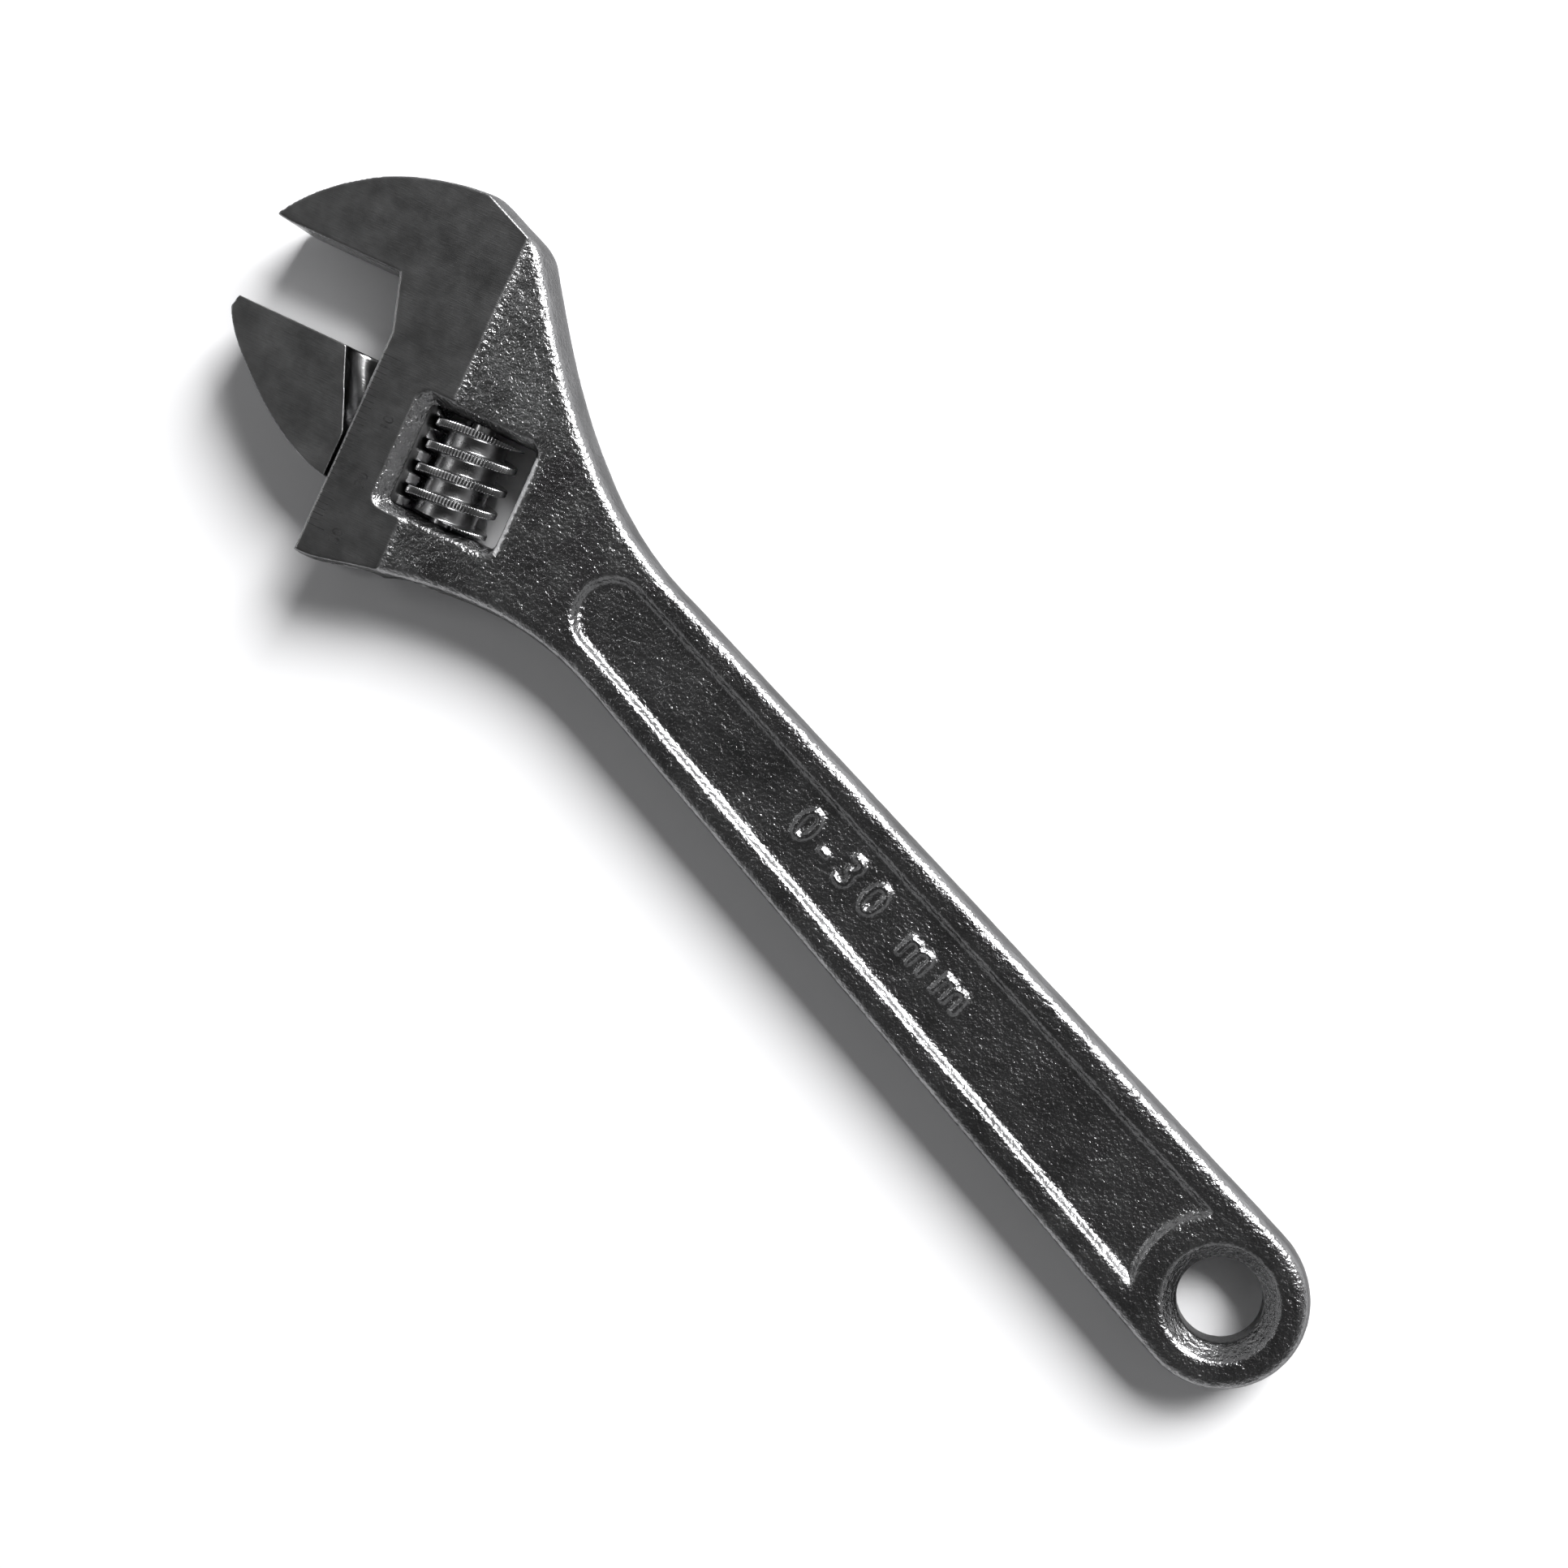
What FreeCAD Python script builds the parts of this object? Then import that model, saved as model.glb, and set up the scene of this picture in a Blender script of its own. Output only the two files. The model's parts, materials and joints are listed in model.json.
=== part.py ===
"""Adjustable wrench, 250 mm long, in millimetres.

Frame: the origin is the hang hole's centre on the mid-plane, +X runs along the handle to the head,
+Z is normal to the flats. The head is turned by HEAD_ANGLE. Its own frame (u, v, z) starts at the
upper end of the scale on the front edge: u points out to the jaw tips, v is the way the jaw opens.
"""
import FreeCAD, Part
import math
import os

V = FreeCAD.Vector
X_AXIS = V(1, 0, 0)
Y_AXIS = V(0, 1, 0)
Z_AXIS = V(0, 0, 1)

# head frame
HEAD_ANGLE = 22.5
HEAD_ORIGIN = V(200.5, 0.3, 0)
HEAD = FreeCAD.Placement(HEAD_ORIGIN, FreeCAD.Rotation(Z_AXIS, HEAD_ANGLE))

# thicknesses, as half heights from the mid-plane
HANDLE_HALF = 5.25
WEB_HALF = 6.5
GROUND_HALF = 7.0
BLANK_HALF = 8.0
DRAFT_INSET = 0.9           # how far a forged wall leans in between the mid-plane and BLANK_HALF
WEB_START_X = 138.0
WEB_END_X = 172.0
GROUND_EDGE_U = -14.4       # the flat ground faces cover the head from here to the jaw

# handle
TAIL_R = 14.1
NECK_HALF = 11.1
NECK_X = 138.0

# panel sunk in both sides of the handle
PANEL_DEPTH = 1.1
PANEL_WALL = 0.9
PANEL_HEAD_X = 143.7
PANEL_HEAD_R = 6.55
PANEL_TAIL_HALF = 8.75
PANEL_TAIL_R = 13.6         # the panel's tail end is an arc about the hang hole

# hang hole
HOLE_R = 6.7
HOLE_DISH_R = 9.3
HOLE_STEP_R = 8.1
HOLE_STEP_Z = 3.9
HOLE_FLOOR_Z = 2.4

# mouth
OPENING = 14.2
THROAT_U = 2.9
THROAT_V = -5.0
FRONT_CORNER_V = 34.4

# worm window
WINDOW_U = (-30.1, -10.9)
WINDOW_V = (2.5, 20.0)
WINDOW_R = 1.2
WINDOW_BEVEL_Z = 4.3        # the walls are upright below this height and flare above it
WINDOW_FLARE_U = (-30.6, -8.4)
WINDOW_FLARE_V = (1.0, 21.5)

# rail of the movable jaw and its guide in the head
RAIL_U = -8.45
RAIL_R = 4.75
RAIL_V = (-0.3, 24.0)
GUIDE_R = 5.0
GUIDE_END_V = -15.2
SLOT_HALF = 3.6
SLOT_END_V = -14.7
WEB_OF_JAW_HALF = 3.1

# movable jaw
JAW_HALF = 6.8
JAW_DRAFT_INSET = 0.5
JAW_GAP = 0.45              # between the plate of the jaw and the head's front edge
NECK_GAP = 0.3
NECK_EDGE_TOP = (6.1, 0.0)
NECK_EDGE_LOW = (0.9, 12.0)
JAW_HEEL_V = 21.3

# worm and rack
WORM_U = -18.8
WORM_V = (3.5, 19.3)
WORM_R = 7.65
WORM_ROOT_R = 5.1
THREAD_PITCH = 4.0
THREAD_WIDTH = 1.3
THREAD_ROUNDING = 0.35
THREAD_PHASE_V = 5.15       # height of one thread crest on the side that meets the rack
TOOTH_GAP = 2.1
TOOTH_ROOT_U = -10.9
WORM_BORE_R = 2.06
SPRING_POCKET_R = 3.5
SPRING_POCKET_V = 10.0

# worm pin
PIN_R = 2.0
PIN_HOLE_R = 2.05
PIN_END_V = -5.0
PIN_HOLE_END_V = -5.5
PIN_HEAD_R = 3.2
PIN_HEAD_V = (28.0, 30.2)
PIN_SLOT_WIDTH = 0.9
PIN_SLOT_DEPTH = 1.0
PIN_SEAT_R = 3.4

# worm spring
SPRING_WIRE_R = 0.35
SPRING_MEAN_R = 2.85
SPRING_PITCH = 1.5
SPRING_V = (2.6, 9.9)

LONG = 60.0                 # longer than any cut needs
BEYOND = 1.0                # how far a cut runs past the face that it opens
BITE = 0.4                  # how far one joined shape starts inside the other
NEARLY_STRAIGHT = 0.05      # sine of the turn below which two outline steps count as one line


def head_point(u, v):
    """A point of the mid-plane, given in the head frame."""
    return HEAD.multVec(V(u, v, 0))


def in_head(shape):
    """A shape that was built in the head frame, moved to its place."""
    shape.Placement = HEAD.multiply(shape.Placement)
    return shape


def v_cylinder(radius, low_v, high_v, u):
    """A cylinder of the head frame whose axis runs along v."""
    return Part.makeCylinder(radius, high_v - low_v, V(u, low_v, 0), Y_AXIS)


def box(u, v, z):
    """A box from three (low, high) pairs."""
    return Part.makeBox(u[1] - u[0], v[1] - v[0], z[1] - z[0], V(u[0], v[0], z[0]))


def run_edge(points, height):
    """A straight edge through two points, or a smooth curve through more, at one height."""
    places = [V(p.x, p.y, height) for p in points]
    if len(places) == 2:
        return Part.makeLine(places[0], places[1])
    curve = Part.BSplineCurve()
    curve.interpolate(places)
    return curve.toShape()


def offset_runs(runs, insets):
    """Closed chain of runs, each moved inwards by its own inset. Runs share their end points."""
    points = []
    shifts = []
    for run, inset in zip(runs, insets):
        points += run[:-1]
        shifts += [inset] * (len(run) - 1)
    count = len(points)
    moved = []
    for i in range(count):
        before = (points[i] - points[i - 1]).normalize()
        after = (points[(i + 1) % count] - points[i]).normalize()
        normal_before = V(-before.y, before.x, 0)
        normal_after = V(-after.y, after.x, 0)
        cross = normal_before.x * normal_after.y - normal_before.y * normal_after.x
        if abs(cross) < NEARLY_STRAIGHT:
            step = (normal_before + normal_after) * ((shifts[i - 1] + shifts[i]) / 4)
        else:
            x = (shifts[i - 1] * normal_after.y - shifts[i] * normal_before.y) / cross
            y = (normal_before.x * shifts[i] - normal_after.x * shifts[i - 1]) / cross
            step = V(x, y, 0)
        moved.append(points[i] + step)
    result = []
    start = 0
    for run in runs:
        end = start + len(run) - 1
        result.append([moved[k % count] for k in range(start, end + 1)])
        start = end
    return result


def section(runs, insets, height):
    """Closed wire at one height, with each run moved inwards by its inset."""
    return Part.Wire([run_edge(run, height) for run in offset_runs(runs, insets)])


def drafted(runs, forged, inset, half):
    """Solid about the mid-plane whose forged walls lean in by inset at both faces."""
    full = [inset if is_forged else 0.0 for is_forged in forged]
    none = [0.0] * len(runs)
    lower = section(runs, full, -half)
    middle = section(runs, none, 0.0)
    upper = section(runs, full, half)
    return Part.makeLoft([lower, middle, upper], True, True)


def body_outline():
    """The body's mid-plane outline, anticlockwise, as runs and whether each is a forged wall."""
    taper = math.atan((TAIL_R - NECK_HALF) / NECK_X)
    tail_angles = [-math.pi / 2 + taper - k * (math.pi + 2 * taper) / 8 for k in range(9)]
    tail = [V(TAIL_R * math.cos(a), TAIL_R * math.sin(a), 0) for a in reversed(tail_angles)]
    lower_flank = [V(NECK_X, -NECK_HALF, 0), V(150, -11.6, 0), V(158, -13.3, 0), V(166, -16.0, 0),
                   V(174, -19.4, 0), V(182, -23.6, 0), V(190, -28.4, 0), head_point(-16.7, -28.1)]
    back = [head_point(-5.6, -32.5), head_point(0, -31.9), head_point(5.2, -30.7),
            head_point(10.4, -28.9), head_point(15.4, -26.2), head_point(20.5, -22.4),
            head_point(24.4, -18.4), head_point(26.7, -15.2)]
    nose = head_point(25.9, -14.5)
    face_start = head_point(23.3, -OPENING)
    throat = head_point(THROAT_U, -OPENING)
    mouth = head_point(0, THROAT_V)
    corner = head_point(0, FRONT_CORNER_V)
    upper_flank = [corner, V(184.1, 30.6, 0), V(180.6, 28.1, 0), V(173, 22.8, 0), V(165.5, 18.2, 0),
                   V(158.3, 14.8, 0), V(150.3, 12.3, 0), V(143.5, 11.3, 0), V(NECK_X, NECK_HALF, 0)]
    runs = [[tail[-1], lower_flank[0]], lower_flank, [lower_flank[-1], back[0]], back,
            [back[-1], nose], [nose, face_start], [face_start, throat], [throat, mouth],
            [mouth, corner], upper_flank, [upper_flank[-1], tail[0]], tail]
    forged = [True, True, True, True, False, False, False, False, False, True, True, True]
    return runs, forged


def side_profile():
    """The body's thickness seen from the side: thin handle, thicker web towards the head."""
    start = -2 * TAIL_R
    end = 2 * HEAD_ORIGIN.x
    rise = Part.BSplineCurve()
    rise.interpolate(Points=[V(WEB_START_X, 0, HANDLE_HALF), V(WEB_END_X, 0, WEB_HALF)],
                     InitialTangent=X_AXIS, FinalTangent=X_AXIS)
    fall = Part.BSplineCurve()
    fall.interpolate(Points=[V(WEB_END_X, 0, -WEB_HALF), V(WEB_START_X, 0, -HANDLE_HALF)],
                     InitialTangent=-X_AXIS, FinalTangent=-X_AXIS)
    corners = [V(WEB_END_X, 0, WEB_HALF), V(end, 0, WEB_HALF), V(end, 0, -WEB_HALF),
               V(WEB_END_X, 0, -WEB_HALF)]
    tail = [V(WEB_START_X, 0, -HANDLE_HALF), V(start, 0, -HANDLE_HALF), V(start, 0, HANDLE_HALF),
            V(WEB_START_X, 0, HANDLE_HALF)]
    edges = [rise.toShape()]
    edges += [Part.makeLine(a, b) for a, b in zip(corners, corners[1:])]
    edges += [fall.toShape()]
    edges += [Part.makeLine(a, b) for a, b in zip(tail, tail[1:])]
    face = Part.Face(Part.Wire(edges))
    face.translate(V(0, -LONG, 0))
    return face.extrude(V(0, 2 * LONG, 0))


def ground_pad():
    """The flat ground faces stand a little above the forged web, with a bevelled step."""
    step = GROUND_HALF - WEB_HALF
    points = [V(GROUND_EDGE_U - step, -LONG, WEB_HALF), V(GROUND_EDGE_U, -LONG, GROUND_HALF),
              V(LONG, -LONG, GROUND_HALF), V(LONG, -LONG, -GROUND_HALF),
              V(GROUND_EDGE_U, -LONG, -GROUND_HALF), V(GROUND_EDGE_U - step, -LONG, -WEB_HALF)]
    face = Part.Face(Part.makePolygon(points + points[:1]))
    return in_head(face.extrude(V(0, 2 * LONG, 0)))


def panel_cut(side):
    """The sunk panel of one side: rounded at the head, hollowed round the hang hole."""
    half_turn = [math.radians(a) for a in (-60, -30, 0, 30, 60)]
    tail_corner_x = math.sqrt(PANEL_TAIL_R ** 2 - PANEL_TAIL_HALF ** 2)
    tail_turn = math.atan2(PANEL_TAIL_HALF, tail_corner_x)
    head_end = [V(PANEL_HEAD_X, -PANEL_HEAD_R, 0)]
    head_end += [V(PANEL_HEAD_X + PANEL_HEAD_R * math.cos(a), PANEL_HEAD_R * math.sin(a), 0)
                 for a in half_turn]
    head_end += [V(PANEL_HEAD_X, PANEL_HEAD_R, 0)]
    tail_end = [V(PANEL_TAIL_R * math.cos(a), PANEL_TAIL_R * math.sin(a), 0)
                for a in (tail_turn, tail_turn / 2, 0, -tail_turn / 2, -tail_turn)]
    runs = [[tail_end[-1], head_end[0]], head_end, [head_end[-1], tail_end[0]], tail_end]
    floor_z = HANDLE_HALF - PANEL_DEPTH
    top_z = WEB_HALF + PANEL_WALL
    flare = PANEL_WALL * (top_z - floor_z) / PANEL_DEPTH
    floor = section(runs, [PANEL_WALL] * 4, side * floor_z)
    top = section(runs, [PANEL_WALL - flare] * 4, side * top_z)
    return Part.makeLoft([floor, top], True, True)


def hang_hole_cut():
    """Through hole with a dished ring on both sides."""
    top = HANDLE_HALF + BEYOND
    dish_slope = (HOLE_DISH_R - HOLE_STEP_R) / (HANDLE_HALF - HOLE_STEP_Z)
    upper = [(HOLE_R, HOLE_FLOOR_Z), (HOLE_STEP_R, HOLE_STEP_Z),
             (HOLE_DISH_R + dish_slope * BEYOND, top)]
    lower = [(r, -z) for r, z in reversed(upper)]
    points = [V(r, 0, z) for r, z in [(0, top)] + upper[::-1] + lower[::-1] + [(0, -top)]]
    face = Part.Face(Part.makePolygon(points + points[:1]))
    return face.revolve(V(0, 0, 0), Z_AXIS, 360)


def rounded_rectangle(u, v, radius, height):
    """Closed wire of a rectangle with round corners."""
    low_u, high_u = u
    low_v, high_v = v
    centres = [(high_u - radius, high_v - radius, 0), (low_u + radius, high_v - radius, 90),
               (low_u + radius, low_v + radius, 180), (high_u - radius, low_v + radius, 270)]
    arcs = []
    for x, y, start in centres:
        circle = Part.Circle(V(x, y, height), Z_AXIS, radius)
        arcs.append(Part.Arc(circle, math.radians(start), math.radians(start + 90)).toShape())
    edges = []
    for arc, following in zip(arcs, arcs[1:] + arcs[:1]):
        edges.append(arc)
        edges.append(Part.makeLine(arc.lastVertex().Point, following.firstVertex().Point))
    return Part.Wire(edges)


def window_cut():
    """The worm's window: upright walls that flare out to both faces of the head."""
    inner = rounded_rectangle(WINDOW_U, WINDOW_V, WINDOW_R, -WINDOW_BEVEL_Z)
    cut = Part.Face(inner).extrude(V(0, 0, 2 * WINDOW_BEVEL_Z))
    reach = 1.5
    scale = reach / (GROUND_HALF - WINDOW_BEVEL_Z) + 1
    outer_u = [a + (b - a) * scale for a, b in zip(WINDOW_U, WINDOW_FLARE_U)]
    outer_v = [a + (b - a) * scale for a, b in zip(WINDOW_V, WINDOW_FLARE_V)]
    for side in (-1, 1):
        start = rounded_rectangle(WINDOW_U, WINDOW_V, WINDOW_R, side * WINDOW_BEVEL_Z)
        end = rounded_rectangle(outer_u, outer_v, 2 * WINDOW_R, side * (GROUND_HALF + reach))
        cut = cut.fuse(Part.makeLoft([start, end], True, True))
    return in_head(cut)


def guide_cut():
    """The round guide of the rail and the slot through which the jaw's web leaves the head."""
    guide = v_cylinder(GUIDE_R, GUIDE_END_V, LONG, RAIL_U)
    slot = box((RAIL_U, THROAT_U), (SLOT_END_V, LONG), (-SLOT_HALF, SLOT_HALF))
    return in_head(guide.fuse(slot))


def pin_hole_cut():
    """Tapped end, clearance hole and seat for the worm pin."""
    tapped = v_cylinder(PIN_R, PIN_HOLE_END_V, WINDOW_V[0] + BEYOND, WORM_U)
    clear = v_cylinder(PIN_HOLE_R, WINDOW_V[1] - BEYOND, LONG, WORM_U)
    seat = v_cylinder(PIN_SEAT_R, PIN_HEAD_V[0], LONG, WORM_U)
    return in_head(tapped.fuse([clear, seat]))


def make_body():
    """Handle, head and fixed jaw, forged in one piece."""
    runs, forged = body_outline()
    blank = drafted(runs, forged, DRAFT_INSET, BLANK_HALF)
    blank = blank.common(side_profile().fuse(ground_pad()))
    cuts = [panel_cut(1), panel_cut(-1), hang_hole_cut(), window_cut(), guide_cut(), pin_hole_cut()]
    return blank.cut(cuts)


def jaw_plate():
    """Plate of the movable jaw, with its drafted outer curve and its hollowed neck."""
    tip = V(26.8, 0, 0)
    heel = V(JAW_GAP, JAW_HEEL_V, 0)
    outer = [V(27.3, 2.4, 0), V(24.9, 6.0, 0), V(20.4, 10.4, 0), V(15.3, 14.5, 0), V(10.3, 17.7, 0),
             V(5.2, 20.1, 0), heel]
    foot = V(JAW_GAP, NECK_EDGE_LOW[1], 0)
    neck = V(NECK_GAP, NECK_EDGE_LOW[1], 0)
    corner = V(NECK_GAP, 0, 0)
    runs = [[corner, tip], [tip, outer[0]], outer, [heel, foot], [foot, neck], [neck, corner]]
    forged = [False, True, True, False, False, False]
    plate = drafted(runs, forged, JAW_DRAFT_INSET, JAW_HALF)
    depth = JAW_HALF - WEB_OF_JAW_HALF
    edge = V(NECK_EDGE_TOP[0], NECK_EDGE_TOP[1], 0)
    along = (V(NECK_EDGE_LOW[0], NECK_EDGE_LOW[1], 0) - edge).normalize()
    inward = V(-along.y, along.x, 0)
    start = edge - along * (LONG / 2) + inward * depth
    for side in (-1, 1):
        hollow = Part.makeCylinder(depth, LONG, start + V(0, 0, side * JAW_HALF), along)
        reach = [start, start + along * LONG, start + along * LONG + inward * LONG,
                 start + inward * LONG, start]
        beyond = Part.Face(Part.makePolygon(reach)).extrude(V(0, 0, side * depth))
        beyond.translate(V(0, 0, side * WEB_OF_JAW_HALF))
        plate = plate.cut([hollow, beyond])
    return plate


def make_movable_jaw():
    """Jaw plate, web and round rail in one piece, with the rack cut across the rail."""
    web = box((RAIL_U, 2 * JAW_GAP), (0, JAW_HEEL_V), (-WEB_OF_JAW_HALF, WEB_OF_JAW_HALF))
    rail = v_cylinder(RAIL_R, RAIL_V[0], RAIL_V[1], RAIL_U)
    jaw = jaw_plate().fuse([web, rail])
    first = math.ceil((RAIL_V[0] - THREAD_PHASE_V - TOOTH_GAP / 2) / THREAD_PITCH)
    last = math.floor((RAIL_V[1] - THREAD_PHASE_V + TOOTH_GAP / 2) / THREAD_PITCH)
    gaps = []
    for k in range(first, last + 1):
        middle = THREAD_PHASE_V + k * THREAD_PITCH
        gap_v = (middle - TOOTH_GAP / 2, middle + TOOTH_GAP / 2)
        gaps.append(box((RAIL_U - 2 * RAIL_R, TOOTH_ROOT_U), gap_v, (-RAIL_R, RAIL_R)))
    return in_head(jaw.cut(gaps).removeSplitter())


def helix_sweep(radius, pitch, low_v, high_v, profile_points):
    """Right-handed ridge about the worm's axis, from a closed profile given as (radial, axial)."""
    height = high_v - low_v
    path = Part.Wire(Part.makeHelix(pitch, height, radius).Edges)
    points = [V(radius + r, 0, a) for r, a in profile_points]
    profile = Part.makePolygon(points + points[:1])
    ridge = path.makePipeShell([profile], True, True)
    return stand_along_v(ridge, low_v)


def stand_along_v(shape, low_v):
    """Turn a shape built along Z so that it runs along v from low_v, with local X kept as u."""
    shape.rotate(V(0, 0, 0), X_AXIS, -90)
    shape.translate(V(WORM_U, low_v, 0))
    return shape


def make_worm():
    """Hollow adjusting screw: root, right-handed thread ridge, bore and spring pocket."""
    root = v_cylinder(WORM_ROOT_R, WORM_V[0], WORM_V[1], WORM_U)
    low = THREAD_PHASE_V - 2 * THREAD_PITCH
    turns = math.ceil((WORM_V[1] - low) / THREAD_PITCH) + 1
    half = THREAD_WIDTH / 2
    crest = WORM_R - WORM_ROOT_R
    shoulder = crest - THREAD_ROUNDING
    flank = half - THREAD_ROUNDING
    profile = [(-BITE, -half), (shoulder, -half), (crest, -flank), (crest, flank), (shoulder, half),
               (-BITE, half)]
    ridge = helix_sweep(WORM_ROOT_R, THREAD_PITCH, low, low + turns * THREAD_PITCH, profile)
    slab = v_cylinder(2 * WORM_R, WORM_V[0], WORM_V[1], WORM_U)
    worm = root.fuse(ridge.common(slab))
    bore = v_cylinder(WORM_BORE_R, WORM_V[0] - BEYOND, WORM_V[1] + BEYOND, WORM_U)
    pocket = v_cylinder(SPRING_POCKET_R, WORM_V[0] - BEYOND, SPRING_POCKET_V, WORM_U)
    return in_head(worm.cut([bore, pocket]))


def make_worm_pin():
    """Slotted pin that the worm turns on; its end is screwed into the head."""
    shank = v_cylinder(PIN_R, PIN_END_V, PIN_HEAD_V[0] + BITE, WORM_U)
    head = v_cylinder(PIN_HEAD_R, PIN_HEAD_V[0], PIN_HEAD_V[1], WORM_U)
    slot = box((WORM_U - PIN_HEAD_R, WORM_U + PIN_HEAD_R),
               (PIN_HEAD_V[1] - PIN_SLOT_DEPTH, PIN_HEAD_V[1] + BEYOND),
               (-PIN_SLOT_WIDTH / 2, PIN_SLOT_WIDTH / 2))
    return in_head(shank.fuse(head).cut(slot))


def make_worm_spring():
    """Compression spring hidden in the worm's pocket."""
    low = SPRING_V[0] + SPRING_WIRE_R
    height = SPRING_V[1] - SPRING_WIRE_R - low
    path = Part.Wire(Part.makeHelix(SPRING_PITCH, height, SPRING_MEAN_R).Edges)
    circle = Part.Circle(V(SPRING_MEAN_R, 0, 0), Y_AXIS, SPRING_WIRE_R)
    coil = path.makePipeShell([Part.Wire(circle.toShape())], True, True)
    return in_head(stand_along_v(coil, low))


MAKERS = {
    "body": make_body,
    "movable_jaw": make_movable_jaw,
    "worm": make_worm,
    "worm_pin": make_worm_pin,
    "worm_spring": make_worm_spring,
}

os.makedirs("parts", exist_ok=True)
for node, maker in MAKERS.items():
    shape = maker()
    shape.exportStep(f"parts/{node}.step")
    low, high = shape.BoundBox.ZMin, shape.BoundBox.ZMax
    print(f"{node}: valid {shape.isValid()}, solids {len(shape.Solids)}, "
          f"volume {shape.Volume:.0f} mm3, z {low:.2f} to {high:.2f}")
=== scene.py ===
"""Adjustable wrench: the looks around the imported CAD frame.

Lengths are in millimetres, times MM where metres are needed. Points of the head use its own
frame (u, v, z): u points out to the jaw tips, v is the way the jaw opens, z is normal to the flats.
"""

import json
import math

import bmesh
import bpy
import numpy as np
from mathutils import Matrix, Vector


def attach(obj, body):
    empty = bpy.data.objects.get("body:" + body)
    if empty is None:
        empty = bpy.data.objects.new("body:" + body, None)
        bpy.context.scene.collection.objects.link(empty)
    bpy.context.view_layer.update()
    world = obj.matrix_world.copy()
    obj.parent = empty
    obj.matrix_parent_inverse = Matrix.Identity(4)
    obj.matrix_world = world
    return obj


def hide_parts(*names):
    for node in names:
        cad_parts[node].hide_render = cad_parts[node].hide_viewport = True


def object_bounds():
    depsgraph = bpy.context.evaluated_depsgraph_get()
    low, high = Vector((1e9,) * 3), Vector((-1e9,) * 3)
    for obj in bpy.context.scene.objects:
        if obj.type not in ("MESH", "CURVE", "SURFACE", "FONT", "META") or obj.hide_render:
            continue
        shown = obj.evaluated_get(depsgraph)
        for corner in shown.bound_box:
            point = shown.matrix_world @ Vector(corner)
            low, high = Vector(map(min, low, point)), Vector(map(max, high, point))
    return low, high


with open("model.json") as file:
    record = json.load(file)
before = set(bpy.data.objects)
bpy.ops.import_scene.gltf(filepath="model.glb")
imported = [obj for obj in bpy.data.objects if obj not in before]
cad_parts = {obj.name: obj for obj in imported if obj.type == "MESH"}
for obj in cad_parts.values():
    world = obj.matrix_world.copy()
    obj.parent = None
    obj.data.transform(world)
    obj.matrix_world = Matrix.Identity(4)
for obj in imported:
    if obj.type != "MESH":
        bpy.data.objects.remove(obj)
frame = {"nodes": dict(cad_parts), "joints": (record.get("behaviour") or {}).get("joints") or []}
cad_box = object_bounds()

MM = 0.001
joints = {joint["name"]: joint for joint in frame["joints"]}

# head frame, taken from the jaw's slide axis and the worm's axis
V_AXIS = Vector(joints["jaw_slide"]["axis"]).normalized()
Z_AXIS = Vector((0, 0, 1))
U_AXIS = V_AXIS.cross(Z_AXIS)
WORM_U = -18.8
WORM_CENTRE_V = 11.4
HEAD_ORIGIN = (Vector(joints["worm_spin"]["pos_m"]) - U_AXIS * WORM_U * MM
               - V_AXIS * WORM_CENTRE_V * MM)

# sizes that the looks need, in millimetres
GROUND_HALF = 7.0
GROUND_EDGE_U = -14.4
JAW_HALF = 6.8
OPENING = 14.2
PANEL_FLOOR = 4.15
WORM_V = (3.5, 19.3)
WORM_R = 7.65
WORM_ROOT_R = 5.1
WORM_BORE_R = 2.06
SPRING_POCKET_R = 3.5
SPRING_POCKET_V = 10.0
THREAD_PITCH = 4.0
THREAD_PHASE_V = 5.15
THREAD_WIDTH = 1.3


def head_matrix():
    """Matrix that takes (u, v, z) in metres to the frame."""
    turn = Matrix((U_AXIS, V_AXIS, Z_AXIS)).transposed().to_4x4()
    return Matrix.Translation(HEAD_ORIGIN) @ turn


HEAD = head_matrix()
HEAD_TURN = math.atan2(U_AXIS.y, U_AXIS.x)


def to_head(points):
    """Frame points in metres, as rows, turned into (u, v, z) in millimetres."""
    shifted = (points - np.array(HEAD_ORIGIN)) / MM
    axes = np.array([U_AXIS, V_AXIS, Z_AXIS])
    return shifted @ axes.T


def between(values, low, high):
    """Mask of the values inside two limits."""
    return (values > low) & (values < high)


# ---------------------------------------------------------------- materials

# noise patterns: features per metre, detail, roughness
WAVES = (400, 2.0, 0.5)
PEEL = (1450, 2.0, 0.5)
GRAIN = (3600, 2.0, 0.6)
PLATING_PATCHES = (120, 4.0, 0.6)
# ragged edge of the painted highlight beside the window's rim
PAINTED_HIGHLIGHT_RAGS = (1400, 2.0, 0.6)
SCRATCHES = (400, 3.0, 0.6)
FINE_GRIND = (3000, 2.0, 0.5)
STAINS = (150, 6.0, 0.7)
TURNED_RINGS = (250, 3.0, 0.6)
HANDLING_MARKS = (240, 4.0, 0.6)
RESIDUE = (900, 2.0, 0.6)
FLOOR_TONES = (6, 2.0, 0.5)

# how much finer scratches and rings are along v than along u
SCRATCH_STRETCH = (1, 14, 1)
RING_STRETCH = (1, 22, 1)

# depths of the surface textures, in millimetres, and how strongly two of them show
WAVE_DEPTH = 0.14
WAVE_STRENGTH = 0.75
PEEL_DEPTH = 0.24
GRAIN_DEPTH = 0.05
SCRATCH_DEPTH = 0.03
GRIND_DEPTH = 0.01
GRIND_STRENGTH = 0.6

# where the forged skin changes and where the ragged painted highlight beside the window's rim lies,
# in millimetres, and how much of the head's grain the handle has
SMOOTH_SKIN_X = 145.0
COARSE_SKIN_X = 182.0
PAINTED_HIGHLIGHT_BAND_U = (-31.5, -31.0)
PAINTED_HIGHLIGHT_RAGGED = 0.5
HANDLE_GRAIN = 0.8
HANDLE_ROUGHNESS = 0.88

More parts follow.
